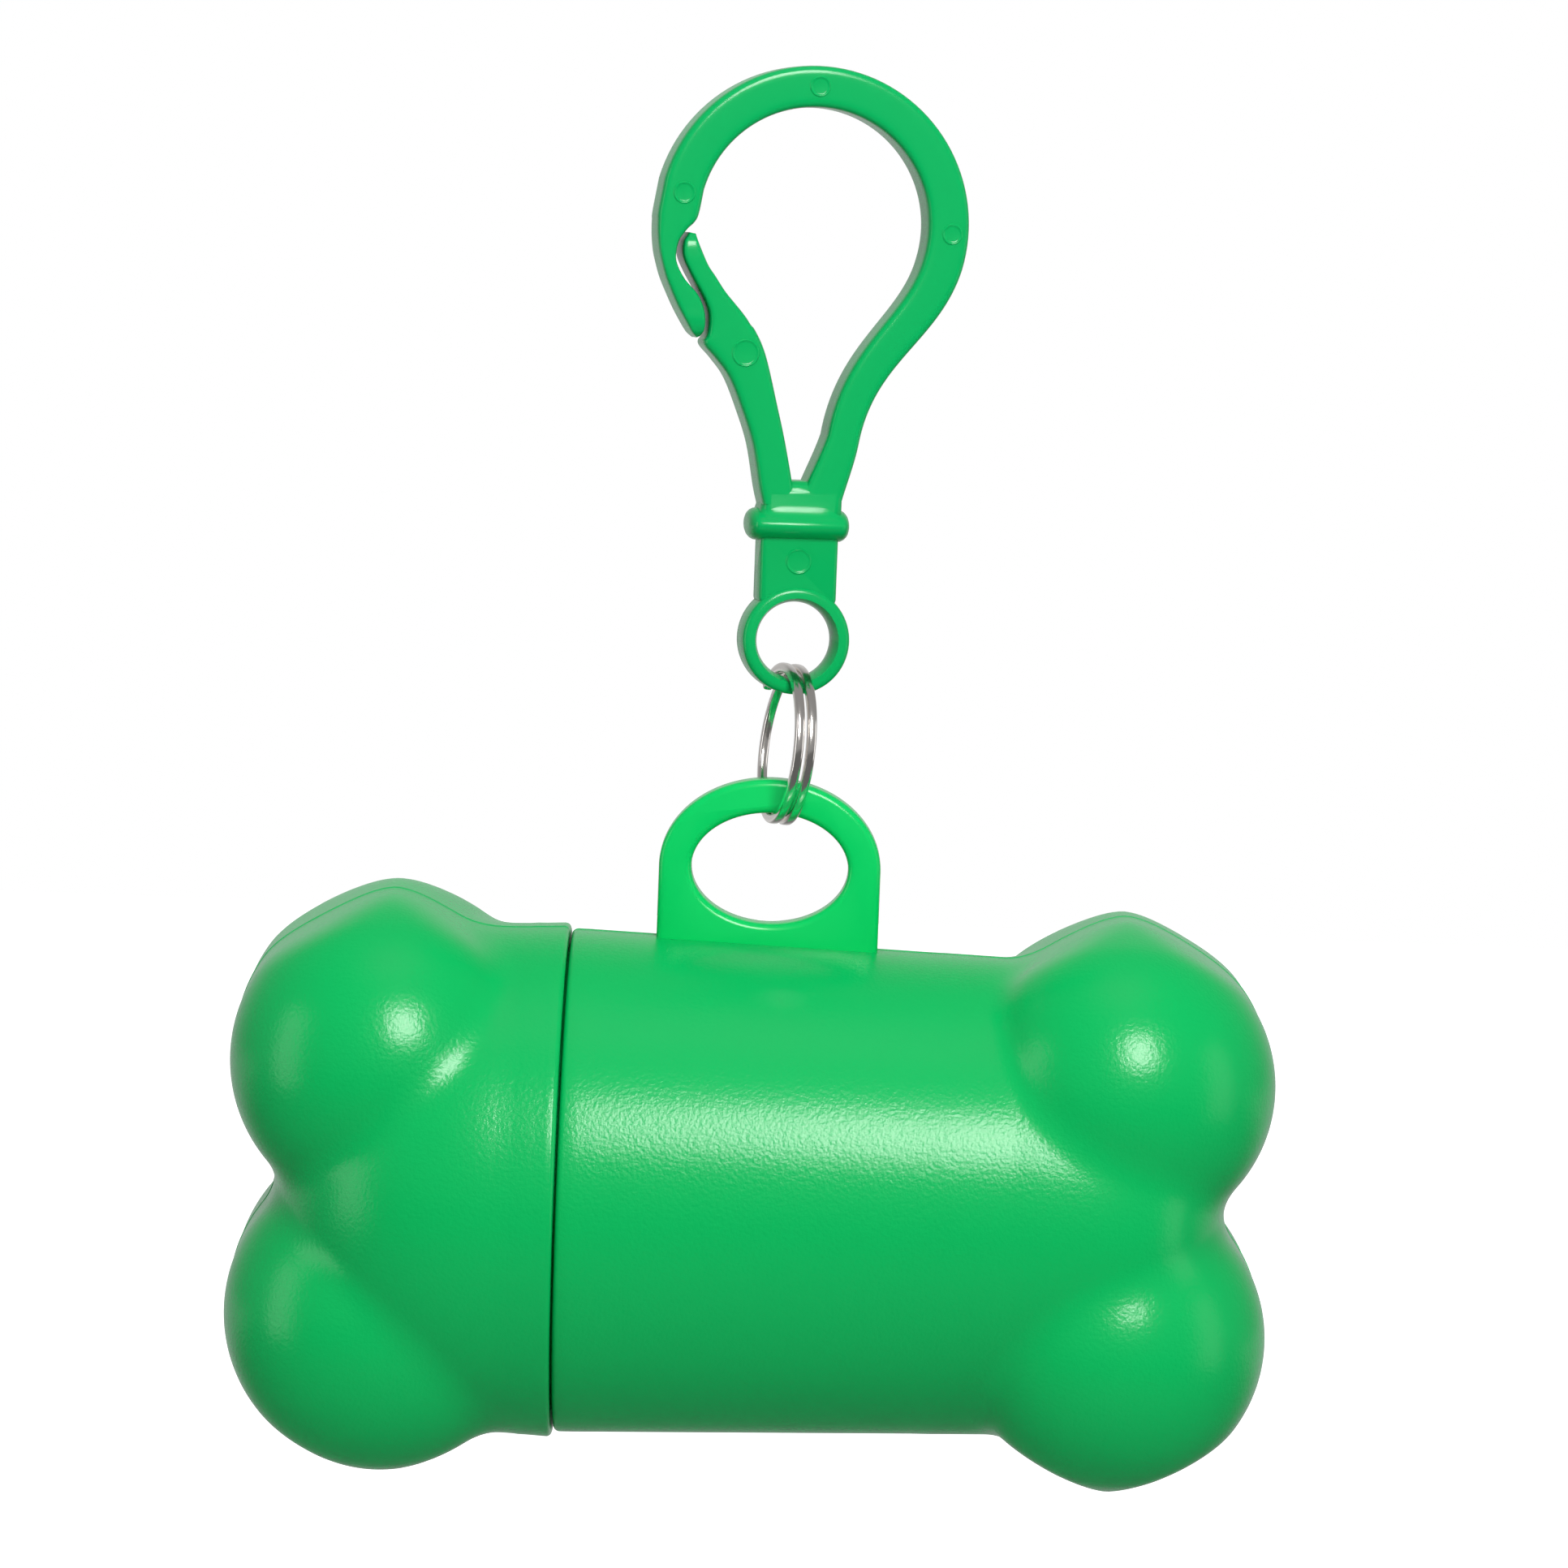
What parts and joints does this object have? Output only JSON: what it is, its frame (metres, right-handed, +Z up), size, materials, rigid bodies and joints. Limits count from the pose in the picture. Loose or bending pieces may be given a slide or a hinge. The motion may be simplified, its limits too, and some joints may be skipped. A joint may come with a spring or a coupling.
{
  "type": "dog waste bag dispenser",
  "caption": "Bone-shaped plastic barrel with a pull-off cap and a hang tab, holding a roll of waste bags, hung by a split ring from a plastic carabiner clip.",
  "frame": {"origin": "middle of the clip's loop, where the object is held", "axes": "+Z up along the hanging object, +X along the bone towards its closed end, +Y away from the viewer, through the clip's loop to within 9.5 degrees"},
  "size_m": [0.0828, 0.0412, 0.1131],
  "materials": {
    "green_satin": "satin, fine spark texture",
    "green_gloss": "glossy",
    "nickel": "bright nickel plate",
    "board": "plain",
    "film": "wound thin film"
  },
  "bodies": {
    "clip": {"clip_hook": "green_gloss"},
    "gate": {"clip_gate": "green_gloss"},
    "ring": {"split_ring": "nickel"},
    "barrel": {"barrel_shell": "green_satin"},
    "cap": {"cap_shell": "green_satin"},
    "roll": {"roll_core": "board", "bag_roll": "film"}
  },
  "joints": [
    {"name": "gate_flex", "type": "hinge", "parent": "clip", "child": "gate", "pos_m": [-0.00222, -0.00037, -0.0204], "axis": [-0.165, 0.9863, 0], "range_deg": [0, 16], "stiffness_Nm_per_rad": 0.4},
    {"name": "ring_swing", "type": "hinge", "parent": "clip", "child": "ring", "pos_m": [-0.00017, -0.00003, -0.03305], "axis": [-0.165, 0.9863, 0], "range_deg": [-40, 40]},
    {"name": "body_swing", "type": "hinge", "parent": "ring", "child": "barrel", "pos_m": [-0.00057, 0, -0.04143], "axis": [0.9611, 0.2588, -0.0959], "range_deg": [-60, 60]},
    {"name": "cap_pull", "type": "slide", "parent": "barrel", "child": "cap", "axis": [-1, 0, 0], "range_m": [0, 0.035]},
    {"name": "roll_spin", "type": "hinge", "parent": "barrel", "child": "roll", "pos_m": [-0.00133, 0, -0.0782], "axis": [1, 0, 0], "continuous": true}
  ]
}
